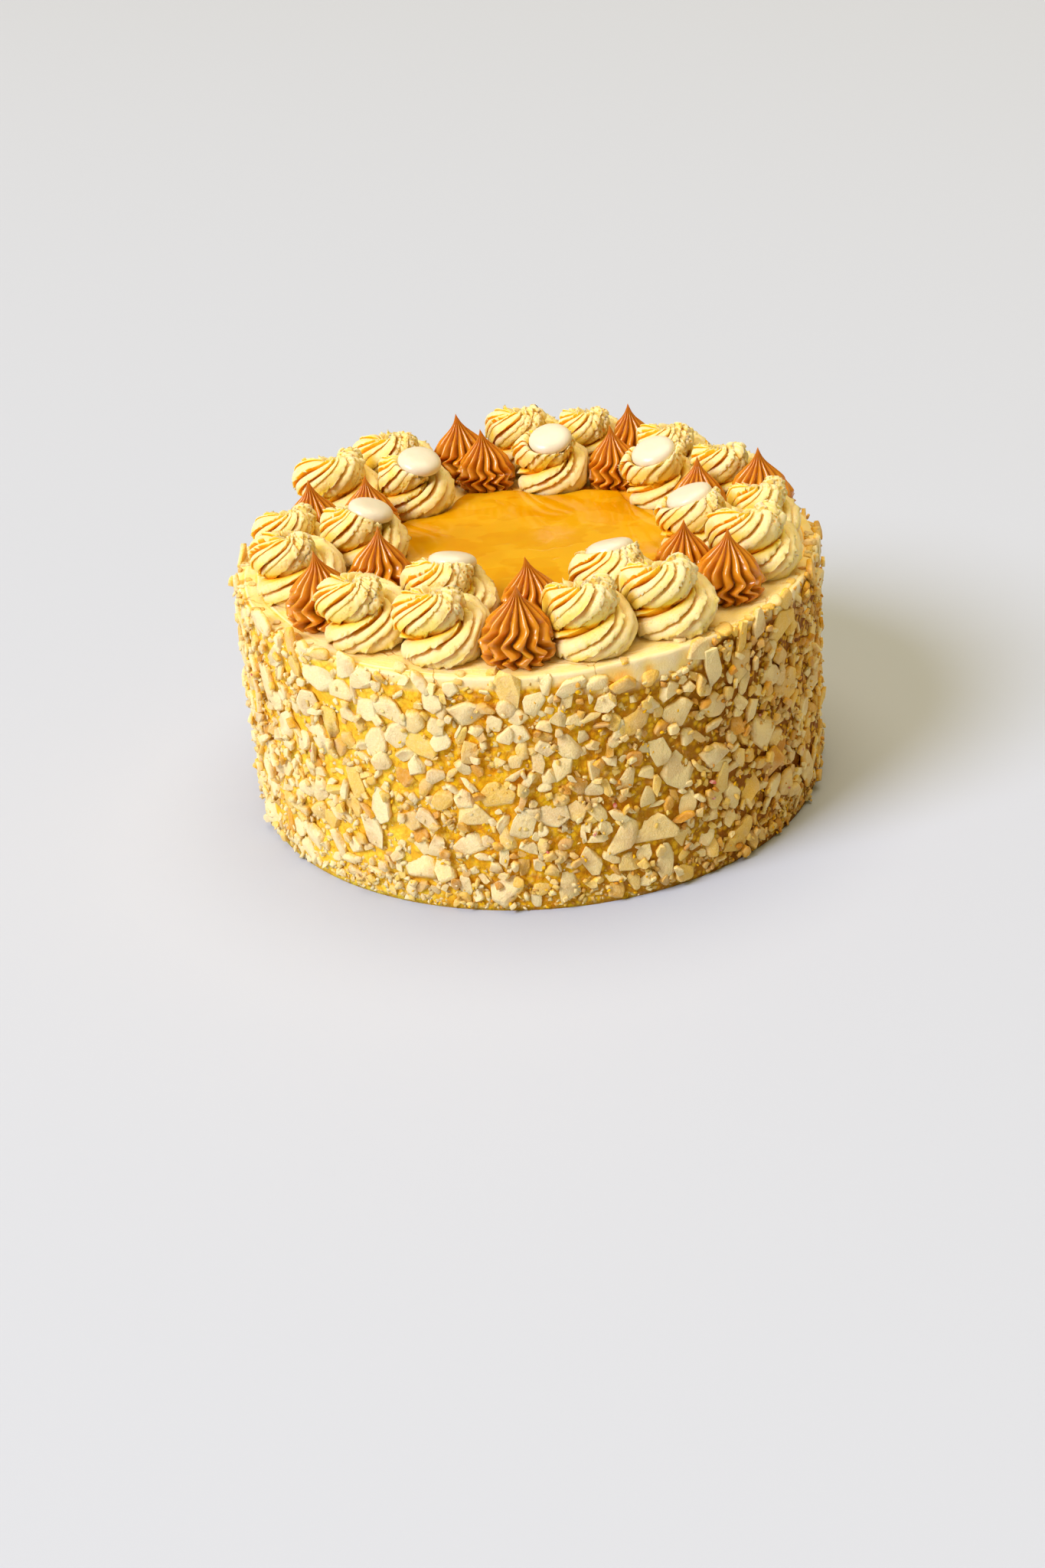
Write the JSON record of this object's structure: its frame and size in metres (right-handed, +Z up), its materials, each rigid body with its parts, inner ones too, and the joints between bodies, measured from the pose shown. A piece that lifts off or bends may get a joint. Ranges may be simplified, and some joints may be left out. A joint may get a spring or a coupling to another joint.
{
  "type": "lucuma cake",
  "caption": "Round whole lucuma cake: nut-coated side, a ring of piped cream rosettes with pale buttons and caramel stars on top, and an amber glaze in the middle.",
  "frame": {"origin": "centre of the flat base, on the surface that the cake stands on", "axes": "+Z up through the cake's axis; -Y is the side that the picture shows, with +X to its right"},
  "size_m": [0.2067, 0.2071, 0.1101],
  "materials": {
    "lucuma_cream": "matte, slightly porous whipped cream",
    "nut_coat": "matte cream wall coated with dry broken nuts",
    "caramel": "glossy soft caramel",
    "pale_button": "satin ivory",
    "amber_glaze": "wet glossy glaze"
  },
  "bodies": {
    "root": {"cake_body": "nut_coat", "glaze": "amber_glaze", "rosette_1_outer_a": "lucuma_cream", "rosette_1_outer_b": "lucuma_cream", "rosette_1_inner": "lucuma_cream", "button_1": "pale_button", "star_1_outer": "caramel", "star_1_inner": "caramel", "rosette_2_outer_a": "lucuma_cream", "rosette_2_outer_b": "lucuma_cream", "rosette_2_inner": "lucuma_cream", "button_2": "pale_button", "star_2_outer": "caramel", "star_2_inner": "caramel", "rosette_3_outer_a": "lucuma_cream", "rosette_3_outer_b": "lucuma_cream", "rosette_3_inner": "lucuma_cream", "button_3": "pale_button", "star_3_outer": "caramel", "star_3_inner": "caramel", "rosette_4_outer_a": "lucuma_cream", "rosette_4_outer_b": "lucuma_cream", "rosette_4_inner": "lucuma_cream", "button_4": "pale_button", "star_4_outer": "caramel", "star_4_inner": "caramel", "rosette_5_outer_a": "lucuma_cream", "rosette_5_outer_b": "lucuma_cream", "rosette_5_inner": "lucuma_cream", "button_5": "pale_button", "star_5_outer": "caramel", "star_5_inner": "caramel", "rosette_6_outer_a": "lucuma_cream", "rosette_6_outer_b": "lucuma_cream", "rosette_6_inner": "lucuma_cream", "button_6": "pale_button", "star_6_outer": "caramel", "star_6_inner": "caramel", "rosette_7_outer_a": "lucuma_cream", "rosette_7_outer_b": "lucuma_cream", "rosette_7_inner": "lucuma_cream", "button_7": "pale_button", "star_7_outer": "caramel", "star_7_inner": "caramel"}
  },
  "joints": []
}
